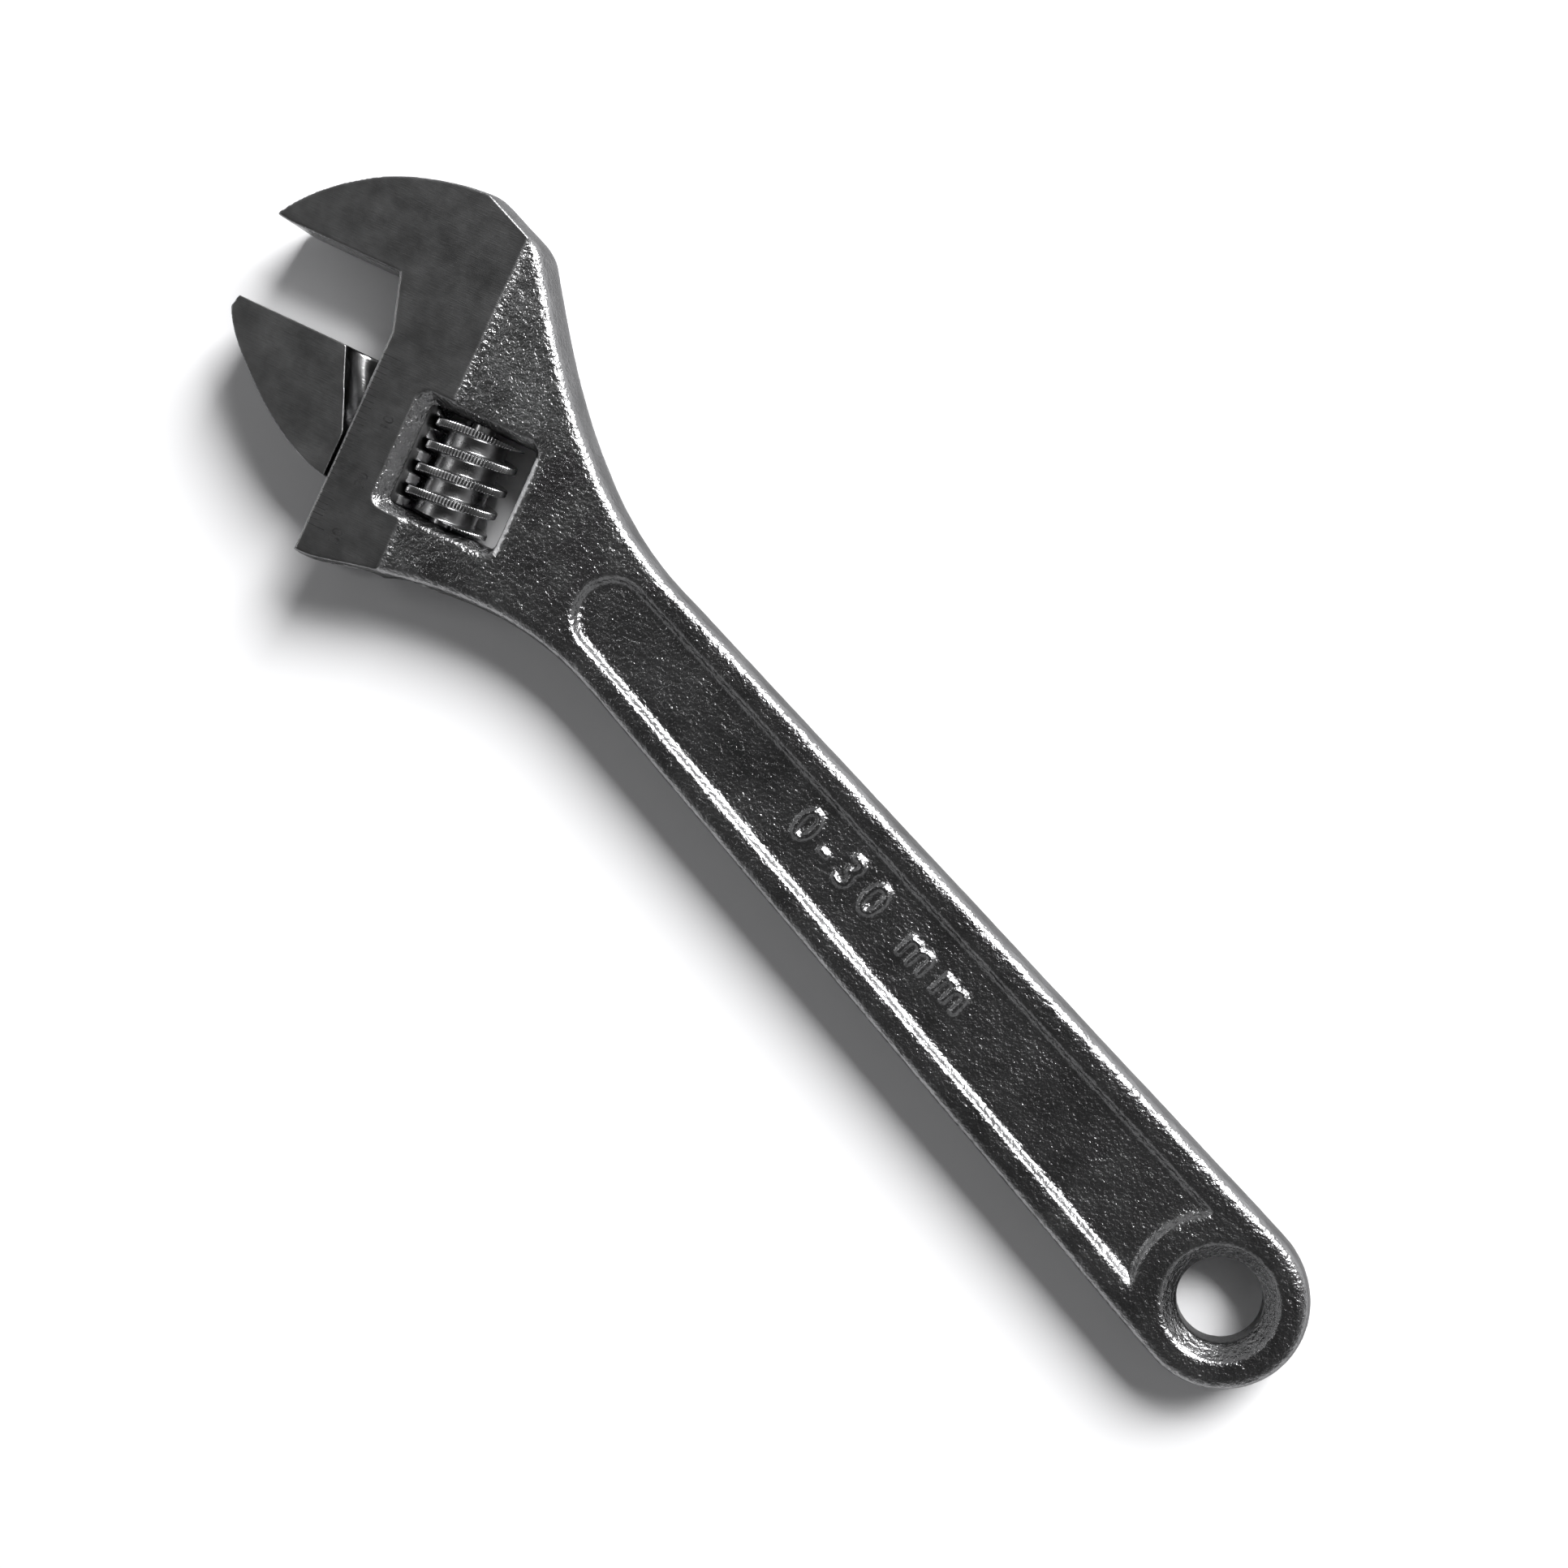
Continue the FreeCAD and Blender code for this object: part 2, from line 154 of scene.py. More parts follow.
# plated steel that isn't polished shines less at grazing angles
GRAZING_TINT = (0.35, 0.35, 0.35, 1)
# steel and its surround are a trace bluer than neutral grey
BLUE_SHARE = 1.01


def new_material(name):
    """Empty principled material and its node tree."""
    material = bpy.data.materials.new(name)
    material.use_nodes = True
    tree = material.node_tree
    return material, tree, tree.nodes["Principled BSDF"]


def add(tree, kind, **inputs):
    """A node with some of its inputs set. Names use underscores for spaces."""
    node = tree.nodes.new(kind)
    for key, value in inputs.items():
        node.inputs[key.replace("_", " ")].default_value = value
    return node


def head_coordinates(tree):
    """Object coordinates turned so that x runs along u and y along v."""
    coordinates = tree.nodes.new("ShaderNodeTexCoord")
    turn = add(tree, "ShaderNodeMapping", Rotation=(0, 0, -HEAD_TURN))
    tree.links.new(coordinates.outputs["Object"], turn.inputs["Vector"])
    return turn.outputs["Vector"]


def object_noise(tree, scale, detail, roughness, stretch=(1, 1, 1)):
    """Noise in object space, in features per metre; stretch squeezes it along u, v and z."""
    squeeze = add(tree, "ShaderNodeMapping", Scale=stretch)
    tree.links.new(head_coordinates(tree), squeeze.inputs["Vector"])
    noise = add(tree, "ShaderNodeTexNoise", Scale=scale, Detail=detail, Roughness=roughness)
    tree.links.new(squeeze.outputs["Vector"], noise.inputs["Vector"])
    return noise.outputs["Fac"]


def ramp(tree, source, stops):
    """Colour ramp over a factor, from (position, grey) stops."""
    node = tree.nodes.new("ShaderNodeValToRGB")
    elements = node.color_ramp.elements
    while len(elements) < len(stops):
        elements.new(0.5)
    for element, (position, grey) in zip(elements, stops):
        element.position = position
        element.color = (grey, grey, grey * BLUE_SHARE, 1)
    tree.links.new(source, node.inputs["Fac"])
    return node.outputs["Color"]


def bump(tree, height, depth, strength=1.0, normal=None):
    """Bump node over a height, stacked on another one. The depth is in millimetres."""
    node = add(tree, "ShaderNodeBump", Strength=strength, Distance=depth * MM)
    tree.links.new(height, node.inputs["Height"])
    if normal is not None:
        tree.links.new(normal, node.inputs["Normal"])
    return node.outputs["Normal"]


def coarser_head(tree, value, handle_share):
    """The value scaled up along x, because the head's skin is coarser than the handle's."""
    coordinates = tree.nodes.new("ShaderNodeTexCoord")
    parts = tree.nodes.new("ShaderNodeSeparateXYZ")
    grow = add(tree, "ShaderNodeMapRange", From_Min=SMOOTH_SKIN_X * MM,
               From_Max=COARSE_SKIN_X * MM, To_Min=handle_share)
    product = tree.nodes.new("ShaderNodeMath")
    product.operation = "MULTIPLY"
    tree.links.new(coordinates.outputs["Object"], parts.inputs["Vector"])
    tree.links.new(parts.outputs["X"], grow.inputs["Value"])
    tree.links.new(grow.outputs["Result"], product.inputs[0])
    tree.links.new(value, product.inputs[1])
    return product.outputs["Value"]


def worn_band(tree):
    """Painted highlight factor: 1 in a narrow ragged band beside the window's tail-side rim, 0
    elsewhere.
    """
    parts = tree.nodes.new("ShaderNodeSeparateXYZ")
    ragged = add(tree, "ShaderNodeMapRange", To_Min=-PAINTED_HIGHLIGHT_RAGGED * MM, To_Max=PAINTED_HIGHLIGHT_RAGGED * MM)
    shifted = tree.nodes.new("ShaderNodeMath")
    shifted.operation = "ADD"
    origin = HEAD_ORIGIN.dot(U_AXIS)
    band = add(tree, "ShaderNodeMapRange", From_Min=origin + PAINTED_HIGHLIGHT_BAND_U[0] * MM,
               From_Max=origin + PAINTED_HIGHLIGHT_BAND_U[1] * MM)
    band.interpolation_type = "SMOOTHSTEP"
    tree.links.new(head_coordinates(tree), parts.inputs["Vector"])
    tree.links.new(object_noise(tree, *PAINTED_HIGHLIGHT_RAGS), ragged.inputs["Value"])
    tree.links.new(parts.outputs["X"], shifted.inputs[0])
    tree.links.new(ragged.outputs["Result"], shifted.inputs[1])
    tree.links.new(shifted.outputs["Value"], band.inputs["Value"])
    return band.outputs["Result"]


def forged_material(name, painted_rim_highlight=False):
    """Plated forging: fine sharp grain on soft hammered waves, optionally with a painted highlight
    band at a rim.
    """
    material, tree, shader = new_material(name)
    shader.inputs["Metallic"].default_value = 1.0
    shader.inputs["Specular Tint"].default_value = GRAZING_TINT
    peel = coarser_head(tree, object_noise(tree, *PEEL), HANDLE_GRAIN)
    grain = coarser_head(tree, object_noise(tree, *GRAIN), HANDLE_GRAIN)
    normal = bump(tree, object_noise(tree, *WAVES), WAVE_DEPTH, WAVE_STRENGTH)
    normal = bump(tree, peel, PEEL_DEPTH, 1.0, normal)
    normal = bump(tree, grain, GRAIN_DEPTH, 1.0, normal)
    tree.links.new(normal, shader.inputs["Normal"])
    if painted_rim_highlight:
        # the band is a painted highlight: base colour rises from 0.30 to 0.92 and roughness from 0.30
        # to 0.52
        band = worn_band(tree)
        grey = ramp(tree, band, [(0.0, 0.30), (1.0, 0.92)])
        rough = ramp(tree, band, [(0.0, 0.30), (1.0, 0.52)])
    else:
        patches = object_noise(tree, *PLATING_PATCHES)
        grey = ramp(tree, patches, [(0.3, 0.24), (0.7, 0.36)])
        rough = ramp(tree, patches, [(0.3, 0.26), (0.7, 0.32)])
        rough = coarser_head(tree, rough, HANDLE_ROUGHNESS)
    tree.links.new(grey, shader.inputs["Base Color"])
    tree.links.new(rough, shader.inputs["Roughness"])
    return material


def metal_tones(tree, shader, pattern, low_position, grey, rough):
    """Grey and roughness as (low, high) over one noise pattern. Grey is low up to low_position."""
    shader.inputs["Metallic"].default_value = 1.0
    clouds = object_noise(tree, *pattern)
    shades = ramp(tree, clouds, [(low_position, grey[0]), (0.7, grey[1])])
    gloss = ramp(tree, clouds, [(0.3, rough[0]), (0.7, rough[1])])
    tree.links.new(shades, shader.inputs["Base Color"])
    tree.links.new(gloss, shader.inputs["Roughness"])


def ground_material(name, grey, rough):
    """Ground and plated flat: fine parallel scratches and soft cloudy stains."""
    material, tree, shader = new_material(name)
    scratches = object_noise(tree, *SCRATCHES, SCRATCH_STRETCH)
    normal = bump(tree, scratches, SCRATCH_DEPTH)
    normal = bump(tree, object_noise(tree, *FINE_GRIND), GRIND_DEPTH, GRIND_STRENGTH, normal)
    tree.links.new(normal, shader.inputs["Normal"])
    metal_tones(tree, shader, STAINS, 0.35, grey, rough)
    return material


def bright_material(name, grey, rough, ring_depth):
    """Bright turned steel: fine rings about the v axis and handling marks."""
    material, tree, shader = new_material(name)
    rings = object_noise(tree, *TURNED_RINGS, RING_STRETCH)
    tree.links.new(bump(tree, rings, ring_depth), shader.inputs["Normal"])
    metal_tones(tree, shader, HANDLING_MARKS, 0.3, grey, rough)
    return material


def ink_material():
    """Dark residue in the engraved lines."""
    material, tree, shader = new_material("engraving")
    shader.inputs["Metallic"].default_value = 0.9
    shader.inputs["Roughness"].default_value = 0.5
    patches = object_noise(tree, *RESIDUE)
    tree.links.new(ramp(tree, patches, [(0.35, 0.05), (0.7, 0.11)]), shader.inputs["Base Color"])
    return material


def floor_material():
    """Plain pale floor."""
    material, tree, shader = new_material("floor_pale")
    shader.inputs["Roughness"].default_value = 0.85
    clouds = object_noise(tree, *FLOOR_TONES)
    tree.links.new(ramp(tree, clouds, [(0.3, 0.89), (0.7, 0.91)]), shader.inputs["Base Color"])
    return material


FORGED = forged_material("forged_plated")
# forged copy whose pale band beside the window's rim is a painted highlight
RIM_PAINTED_HIGHLIGHT = forged_material("window_rim_painted_highlight", painted_rim_highlight=True)
GROUND = ground_material("ground_flat", (0.25, 0.34), (0.30, 0.36))
MACHINED = ground_material("machined_face", (0.24, 0.32), (0.24, 0.32))
BRIGHT = bright_material("worm_chrome", (0.50, 0.66), (0.18, 0.30), 0.025)
TURNED = bright_material("worm_turned", (0.30, 0.42), (0.24, 0.34), 0.03)
# near-black copy of the turned steel: painted shade in the knurl valleys and in the gap before the
# rack teeth
PAINTED_GROOVE_SHADE = bright_material("worm_groove_painted_shade", (0.08, 0.14), (0.35, 0.50), 0.01)
POLISHED = bright_material("jaw_neck_polished", (0.20, 0.30), (0.16, 0.24), 0.02)
# paler copy of the turned steel on the rack teeth: painted highlight
RACK_PAINTED_HIGHLIGHT = bright_material("jaw_rack_painted_highlight", (0.60, 0.80), (0.24, 0.36), 0.04)
PIN = bright_material("pin_turned", (0.42, 0.54), (0.22, 0.34), 0.02)
WIRE = bright_material("spring_wire", (0.34, 0.46), (0.25, 0.4), 0.01)
INK = ink_material()


# ---------------------------------------------------------------- mesh tools

WELD_DISTANCE = 0.001
TEXT_STEPS = 6
EVEN_WEIGHT = 0.5
EVEN_ROUNDS = 3
# octaves of the lumps, plane waves in each, and how much weaker each octave is
OCTAVES = 3
OCTAVE_WAVES = 8
OCTAVE_GAIN = 0.6
# a face counts as level when its normal is this much along z, and as upright below the second
LEVEL = 0.8
UPRIGHT = 0.5


def link(name, mesh, *materials):
    """A new object in the scene."""
    for material in materials:
        mesh.materials.append(material)
    piece = bpy.data.objects.new(name, mesh)
    bpy.context.scene.collection.objects.link(piece)
    return piece


def evaluated(piece):
    """The piece's mesh with its modifiers applied, as a new mesh."""
    graph = bpy.context.evaluated_depsgraph_get()
    return bpy.data.meshes.new_from_object(piece.evaluated_get(graph))


def cad_mesh(node):
    """A welded copy of a CAD node's mesh."""
    work = bmesh.new()
    work.from_mesh(frame["nodes"][node].data)
    bmesh.ops.remove_doubles(work, verts=work.verts, dist=WELD_DISTANCE * MM)
    mesh = bpy.data.meshes.new(node + "_copy")
    work.to_mesh(mesh)
    work.free()
    return mesh


def voxel_mesh(mesh, size):
    """The closed mesh remade as an even grid of quads."""
    work = link("voxel_work", mesh)
    modifier = work.modifiers.new("remesh", "REMESH")
    modifier.mode = "VOXEL"
    modifier.voxel_size = size
    result = evaluated(work)
    bpy.data.objects.remove(work)
    result.materials.clear()
    return result


def coordinates(mesh):
    """Vertex coordinates as rows, in metres."""
    flat = np.empty(len(mesh.vertices) * 3)
    mesh.vertices.foreach_get("co", flat)
    return flat.reshape(-1, 3)


def edge_pairs(mesh):
    """Edges as rows of two vertex numbers."""
    flat = np.empty(len(mesh.edges) * 2, dtype=np.int64)
    mesh.edges.foreach_get("vertices", flat)
    return flat.reshape(-1, 2)


def relax(points, edges, weight, rounds):
    """Moves each vertex towards its neighbours' mean. Weight has a row of one or three per vertex."""
    count = len(points)
    valence = np.bincount(edges.ravel(), minlength=count).astype(float)[:, None]
    first, second = edges[:, 0], edges[:, 1]
    for _ in range(rounds):
        total = np.empty_like(points)
        for axis in range(3):
            total[:, axis] = np.bincount(first, points[second, axis], count)
            total[:, axis] += np.bincount(second, points[first, axis], count)
        points = points + (total / valence - points) * weight
    return points


def evened(points, edges, flat):
    """Takes the grid's steps out of the surface. Vertices on a flat move only within it."""
    weight = np.full((len(points), 3), EVEN_WEIGHT)
    weight[flat, 2] = 0.0
    return relax(points, edges, weight, EVEN_ROUNDS)


def wobble(points, size, seed):
    """Smooth noise, mostly between -1 and 1, from a few seeded plane waves per octave."""
    source = np.random.default_rng(seed)
    value = np.zeros(len(points))
    total = 0.0
    for octave in range(OCTAVES):
        wave = size / 2 ** octave
        gain = OCTAVE_GAIN ** octave
        for _ in range(OCTAVE_WAVES):
            direction = source.normal(size=3)
            direction *= 2 * math.pi / (wave * np.linalg.norm(direction))
            value += gain * np.sin(points @ direction + source.uniform(0, 2 * math.pi))
            total += gain * 0.5
    return value / total


def finish_mesh(mesh, points):
    """Writes the coordinates back and shades the mesh smooth."""
    mesh.vertices.foreach_set("co", points.ravel())
    mesh.polygons.foreach_set("use_smooth", [True] * len(mesh.polygons))
    mesh.update()


def vertex_normals(mesh):
    """Vertex normals as rows."""
    flat = np.empty(len(mesh.vertices) * 3)
    mesh.vertices.foreach_get("normal", flat)
    return flat.reshape(-1, 3)


def face_frames(mesh):
    """Face centres in the head frame, in millimetres, and face normals in the head frame."""
    centres = np.empty(len(mesh.polygons) * 3)
    normals = np.empty(len(mesh.polygons) * 3)
    mesh.polygons.foreach_get("center", centres)
    mesh.polygons.foreach_get("normal", normals)
    axes = np.array([U_AXIS, V_AXIS, Z_AXIS])
    return to_head(centres.reshape(-1, 3)), normals.reshape(-1, 3) @ axes.T


def paint(mesh, looks, choices, default):
    """Gives each face the material of the first mask that holds, out of (mask, material) pairs."""
    masks = [mask for mask, _ in choices]
    slots = [looks.index(material) for _, material in choices]
    index = np.select(masks, slots, looks.index(default)).astype(np.int32)
    mesh.polygons.foreach_set("material_index", index)


def text_mesh(words, size, depth, matrix, spacing=1.0):
    """Raised lettering as a closed mesh. Size and depth are in metres."""
    curve = bpy.data.curves.new("text_" + words[:2], "FONT")
    curve.body = words
    curve.size = size
    curve.extrude = depth / 2
    curve.align_x = "CENTER"
    curve.align_y = "CENTER"
    curve.resolution_u = TEXT_STEPS
    curve.space_character = spacing
    work = bpy.data.objects.new("text_work", curve)
    bpy.context.scene.collection.objects.link(work)
    mesh = evaluated(work)
    bpy.data.objects.remove(work)
    mesh.transform(matrix)
    mesh.materials.clear()
    return mesh


def joined(meshes):
    """Several meshes as one."""
    work = bmesh.new()
    for mesh in meshes:
        work.from_mesh(mesh)
    result = bpy.data.meshes.new("joined")
    work.to_mesh(result)
    work.free()
    return result


# ---------------------------------------------------------------- body

BODY_LOOKS = (FORGED, GROUND, MACHINED, RIM_PAINTED_HIGHLIGHT)
BODY_VOXEL = 0.27 * MM
HANDLE_END_X = 138.0
PANEL_END_X = 151.0
PANEL_HALF = (8.75, 6.55)
PANEL_MARGIN = 1.0
HOLE_RING_R = 10.5
HOLE_BORE_R = 7.4

# the fixed jaw's face starts here, and the jaw guide's walls lie inside these limits
FIXED_FACE_U = 1.5
GUIDE_U = (-14.0, -0.2)
GUIDE_MIN_V = -16.0
GUIDE_HALF = 5.2

# how far off a plane or an edge something may lie and still belong to it
FLAT_MARGIN = 0.12      # vertices off the ground flats
LEVEL_MARGIN = 0.1      # faces off the ground flats
EDGE_MARGIN = 0.3       # behind the front edge and the ground flats' rear edge
FACE_MARGIN = 0.25      # vertices short of the fixed jaw's face
JAW_REACH = 1.0         # beyond the fixed jaw's face
FRONT_MARGIN = 0.5      # faces past the end of the front edge
# least share of a face's normal along u or v for it to count as a front or jaw face
FRONT_FACING = 0.6
JAW_FACING = 0.7

# the worm window with its flares, the rim faces that get the painted highlight, and where its rims
# are rounded over
WINDOW_U = (-32.0, -7.0)
WINDOW_V = (-0.5, 23.0)
PAINTED_HIGHLIGHT_FACES_U = (-32.2, -30.5)
PAINTED_HIGHLIGHT_FACES_V = (3.5, 20.5)
PAINTED_HIGHLIGHT_MIN_Z = 5.4
ROUND_RIM_U = -28.0
ROUND_RIM_V = 18.5

# how rims are rounded: rings of vertices reached, rounds of smoothing
OUTLINE_ROUNDING = (9, 70)
WINDOW_ROUNDING = (5, 16)
RIM_GAIN = 1.5
# how far a vertex moves towards its neighbours' mean in a round, by place
SOFT_WEIGHT = 0.6
SOFT_ROUNDS = 6
MARK_WEIGHT = 0.15
BORE_WEIGHT = 0.2

# lumps of the forging: height and length in millimetres, seed; and how softly they fade out
LUMPS = ((0.02, 1.6, 4), (0.05, 9.0, 9))
FADE_WEIGHT = 0.5
FADE_ROUNDS = 3

SIZE_MARK = "0-30 mm"
MARK_CENTRE = (80.0, -1.0)
MARK_SIZE = 8.3
MARK_SPACING = 1.4
MARK_DEPTH = 1.1
MARK_AREA = (22.0, 4.5)
MARK_MARGIN = 0.6


def size_mark():
    """Generic raised capacity mark on the panel, read from the head towards the tail."""
    place = Matrix.Translation(Vector((*MARK_CENTRE, PANEL_FLOOR)) * MM)
    turn = Matrix.Rotation(math.pi, 4, "Z")
    return text_mesh(SIZE_MARK, MARK_SIZE * MM, MARK_DEPTH * MM, place @ turn, MARK_SPACING)


def hard_faces(points):
    """Masks of the ground and machined vertices, which keep their edges, and of the ground ones."""
    u, v, z = to_head(points).T
    z = np.abs(z)
    ground = (z > GROUND_HALF - FLAT_MARGIN) & (u > GROUND_EDGE_U - EDGE_MARGIN)
    jaw_face = between(v, -OPENING - FACE_MARGIN, -OPENING + JAW_REACH) & (u > FIXED_FACE_U)
    front = (u > -EDGE_MARGIN) & (v > -OPENING - EDGE_MARGIN)
    guide = (z < GUIDE_HALF) & between(u, *GUIDE_U) & (v > GUIDE_MIN_V)
    return ground | jaw_face | front | guide, ground


def in_window(u, v):
    """Mask of the worm window with its flares."""
    return between(u, *WINDOW_U) & between(v, *WINDOW_V)


def window_walls(points, normals):
    """Mask of the window's tail-side and lower walls, whose rims are rounded over."""
    u, v, _ = to_head(points).T
    upright = np.abs(normals[:, 2]) < UPRIGHT
    return in_window(u, v) & upright & ((u < ROUND_RIM_U) | (v > ROUND_RIM_V))


def outline_walls(points, normals):
    """Mask of the upright forged walls of the outline, without the window, hole and panel."""
    u, v, _ = to_head(points).T
    x, y = points[:, 0] / MM, points[:, 1] / MM
    upright = np.abs(normals[:, 2]) < UPRIGHT
    hole = x ** 2 + y ** 2 < HOLE_RING_R ** 2
    panel_half = np.interp(x, (0, HANDLE_END_X), PANEL_HALF) + PANEL_MARGIN
    panel = (np.abs(y) < panel_half) & between(x, 0, PANEL_END_X)
    return upright & ~in_window(u, v) & ~hole & ~panel


def spread(mask, edges, rings):
    """The mask grown by some rings of neighbours, fading to its rim."""
    reach = mask.astype(float)
    for _ in range(rings):
        grown = reach.copy()
        np.maximum.at(grown, edges[:, 0], reach[edges[:, 1]] - 1 / rings)
        np.maximum.at(grown, edges[:, 1], reach[edges[:, 0]] - 1 / rings)
        reach = grown
    return np.clip(reach, 0, 1)


def in_mark(points):
    """Mask of the raised size mark."""
    near_x = np.abs(points[:, 0] / MM - MARK_CENTRE[0]) < MARK_AREA[0]
    near_y = np.abs(points[:, 1] / MM - MARK_CENTRE[1]) < MARK_AREA[1]
    return near_x & near_y & (points[:, 2] > (PANEL_FLOOR - MARK_MARGIN) * MM)


def rounded_rims(points, normals, edges, hard):
    """Rounds over the rims of the outline and of the window's tail-side and lower walls."""
    for walls, (reach, rounds) in ((outline_walls(points, normals), OUTLINE_ROUNDING),
                                   (window_walls(points, normals), WINDOW_ROUNDING)):
        rims = spread(walls, edges, reach)
        rims[hard] = 0
        weight = SOFT_WEIGHT * np.minimum(rims * RIM_GAIN, 1)[:, None]
        points = relax(points, edges, weight, rounds)
    return points


def soft_edges(points, edges, hard):
    """Softens the forged edges. The size mark and the hang hole's bore stay crisper."""
    weight = np.full((len(points), 1), SOFT_WEIGHT)
    weight[in_mark(points)] = MARK_WEIGHT
    weight[hard] = 0
    bore = np.hypot(points[:, 0], points[:, 1]) < HOLE_BORE_R * MM
    weight[bore] = BORE_WEIGHT
    return relax(points, edges, weight, SOFT_ROUNDS)


def lumpy(points, normals, edges, hard):
    """Adds the shallow lumps of a forging, which fade out towards the hard faces."""
    forged = 1.0 - hard[:, None].repeat(3, 1)
    amount = relax(forged, edges, FADE_WEIGHT, FADE_ROUNDS)[:, :1]
    lumps = sum(height * wobble(points, length * MM, seed) for height, length, seed in LUMPS)
    return points + normals * amount * (lumps * MM)[:, None]


def paint_body(mesh):
    """Ground, machined, painted rim highlight or forged, per face."""
    centres, faces = face_frames(mesh)
    u, v, z = centres.T
    z = np.abs(z)
    on_ground = (z > GROUND_HALF - LEVEL_MARGIN) & (np.abs(faces[:, 2]) > LEVEL)
    on_front = (u > -EDGE_MARGIN) & (faces[:, 0] > FRONT_FACING) & (v > -OPENING - FRONT_MARGIN)
    on_jaw = (faces[:, 1] > JAW_FACING) & (u > FIXED_FACE_U) & between(v, -OPENING - JAW_REACH, 0)
    # faces beside the window's tail-side rim that get the painted highlight band
    painted_rim_highlight = between(u, *PAINTED_HIGHLIGHT_FACES_U) & between(v, *PAINTED_HIGHLIGHT_FACES_V) & (z > PAINTED_HIGHLIGHT_MIN_Z)
    choices = ((on_ground, GROUND), (on_front | on_jaw, MACHINED), (painted_rim_highlight, RIM_PAINTED_HIGHLIGHT))
    paint(mesh, BODY_LOOKS, choices, FORGED)


def make_body():
    """Forging with soft edges, crisp ground faces and a raised size mark."""
    mesh = voxel_mesh(joined([cad_mesh("body"), size_mark()]), BODY_VOXEL)
    points = coordinates(mesh)
    edges = edge_pairs(mesh)
    hard, ground = hard_faces(points)
    points = evened(points, edges, ground)
    finish_mesh(mesh, points)
    points = rounded_rims(points, vertex_normals(mesh), edges, hard)
    points = soft_edges(points, edges, hard)
    finish_mesh(mesh, points)
    points = lumpy(points, vertex_normals(mesh), edges, hard)
    finish_mesh(mesh, points)
    paint_body(mesh)
    piece = link("wrench_body", mesh, *BODY_LOOKS)
    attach(piece, "frame")
    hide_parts("body")


# ---------------------------------------------------------------- scale

SCALE_ZERO_V = -1.3
SCALE_EDGE_U = -0.35
SCALE_LINES = 31
LONG_MARK_EVERY = 5
LINE_WIDTH = 0.12
SHORT_MARK = 2.0
LONG_MARK = 3.2
INK_PROUD = 0.006
INK_SUNK = 0.05
NUMERALS = (10, 20, 30)
NUMERAL_SIZE = 2.6
NUMERAL_U = -5.8


def bar_mesh(low, high):
    """A box from two corners in the head frame, in millimetres."""
    work = bmesh.new()
    bmesh.ops.create_cube(work, size=1.0)
    middle = (Vector(low) + Vector(high)) / 2
    size = Vector(high) - Vector(low)
    place = HEAD @ Matrix.Translation(middle * MM) @ Matrix.Diagonal((*(size * MM), 1))
    bmesh.ops.transform(work, matrix=place, verts=work.verts)
    mesh = bpy.data.meshes.new("bar")
    work.to_mesh(mesh)
    work.free()
    return mesh


def make_scale():
    """Engraved millimetre scale on the upper ground face, with its numerals."""
    low = GROUND_HALF - INK_SUNK
    high = GROUND_HALF + INK_PROUD
    parts = []
    for k in range(SCALE_LINES):
        length = SHORT_MARK if k % LONG_MARK_EVERY else LONG_MARK
        v = SCALE_ZERO_V + k
        parts.append(bar_mesh((SCALE_EDGE_U - length, v - LINE_WIDTH / 2, low),
                              (SCALE_EDGE_U, v + LINE_WIDTH / 2, high)))
    for number in NUMERALS:
        spot = Matrix.Translation(Vector((NUMERAL_U, SCALE_ZERO_V + number, GROUND_HALF)) * MM)
        turn = Matrix.Rotation(-math.pi / 2, 4, "Z")
        depth = 2 * INK_PROUD * MM
        parts.append(text_mesh(str(number), NUMERAL_SIZE * MM, depth, HEAD @ spot @ turn))
    piece = link("engraved_scale", joined(parts), INK)
    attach(piece, "frame")


# ---------------------------------------------------------------- movable jaw

JAW_LOOKS = (FORGED, GROUND, MACHINED, POLISHED, RACK_PAINTED_HIGHLIGHT, PAINTED_GROOVE_SHADE)
JAW_VOXEL = 0.2 * MM
# jaw faces beyond TOOTH_START_U get the painted highlight of the teeth, those between it and
# RACK_EDGE_U the painted shade of the tooth gap
RACK_EDGE_U = -9.5
TOOTH_START_U = -11.5
# the web between plate and rail: where its rounding ends, and where its polish ends
WEB_ROUND_U = 5.6
WEB_POLISH_U = 6.6
# the plate's outer edge lies beyond these
OUTER_U = 1.2
OUTER_V = 1.0
JAW_FACE_V = 0.4
JAW_FLAT_MARGIN = 0.08
RIM_MARGIN = 0.3
SIDE_MARGIN = 0.05
JAW_WEIGHT = 0.5
JAW_ROUNDS = 8
TOOTH_ROUNDS = 7


def jaw_shape(points, edges):
    """Rounds the jaw's web, outer edge and rack teeth a little."""
    u, v, z = to_head(points).T
    z = np.abs(z)
    points = evened(points, edges, z > JAW_HALF - JAW_FLAT_MARGIN)
    inside_rims = z < JAW_HALF - RIM_MARGIN
    web = between(u, 0, WEB_ROUND_U) & inside_rims
    outer = (u > OUTER_U) & (v > OUTER_V) & inside_rims
    points = relax(points, edges, (web | outer)[:, None] * JAW_WEIGHT, JAW_ROUNDS)
    return relax(points, edges, (u < RACK_EDGE_U)[:, None] * JAW_WEIGHT, TOOTH_ROUNDS)


